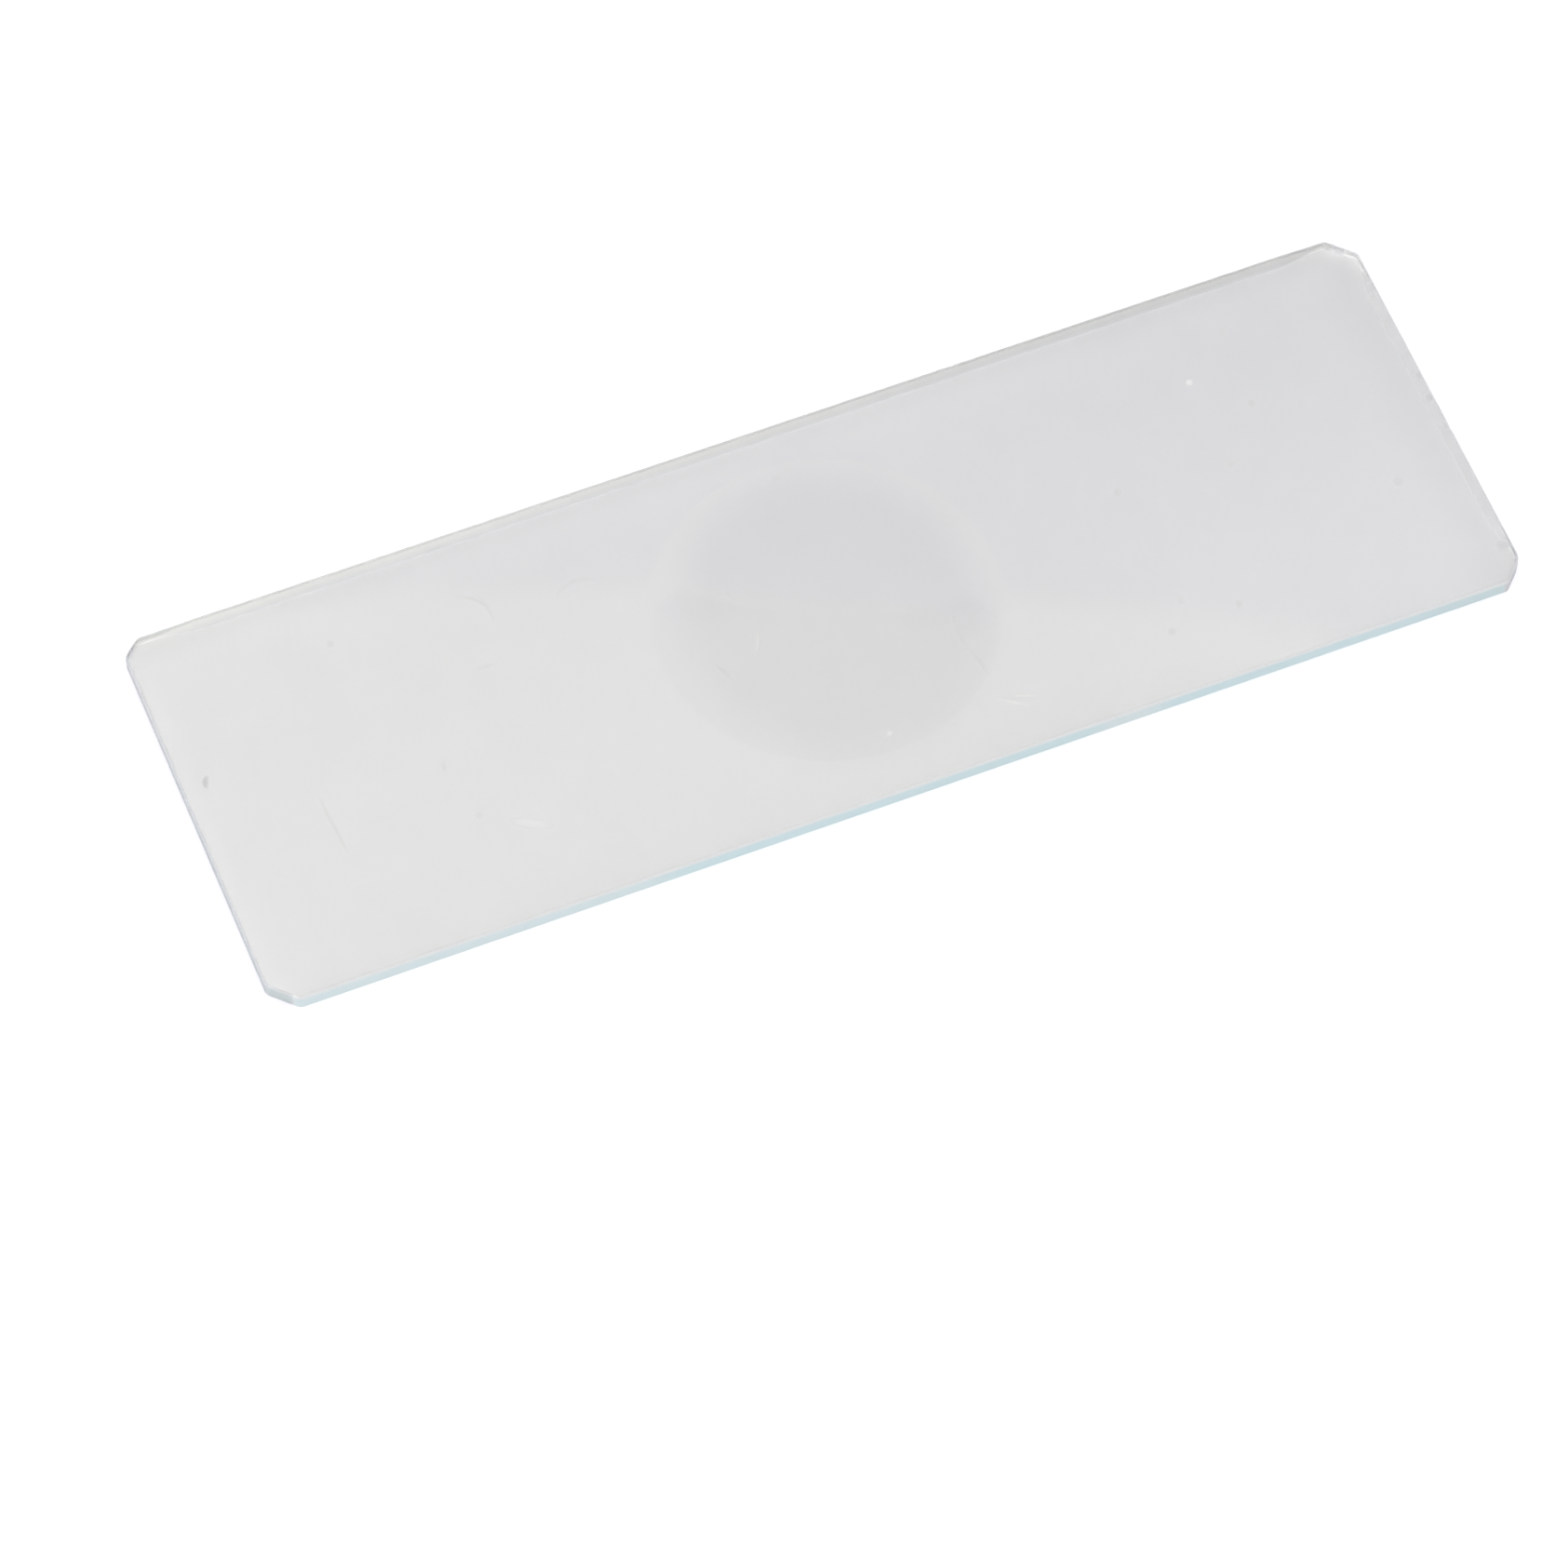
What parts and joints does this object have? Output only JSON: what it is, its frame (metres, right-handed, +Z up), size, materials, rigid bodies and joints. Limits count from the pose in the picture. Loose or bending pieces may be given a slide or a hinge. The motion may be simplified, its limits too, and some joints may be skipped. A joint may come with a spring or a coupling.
{
  "type": "microscope cavity slide",
  "caption": "Flat clear glass microscope slide with clipped corners, ground edges and one shallow round cavity in the middle of its top face.",
  "frame": {"origin": "centre of the bottom face", "axes": "+X along the length, +Y across the width, +Z up out of the face with the cavity"},
  "size_m": [0.0762, 0.0254, 0.0011],
  "materials": {
    "clear_glass": "polished faces and cavity, finely ground edges, pale cyan seen through the edges"
  },
  "bodies": {
    "root": {"glass_slide": "clear_glass"}
  },
  "joints": []
}
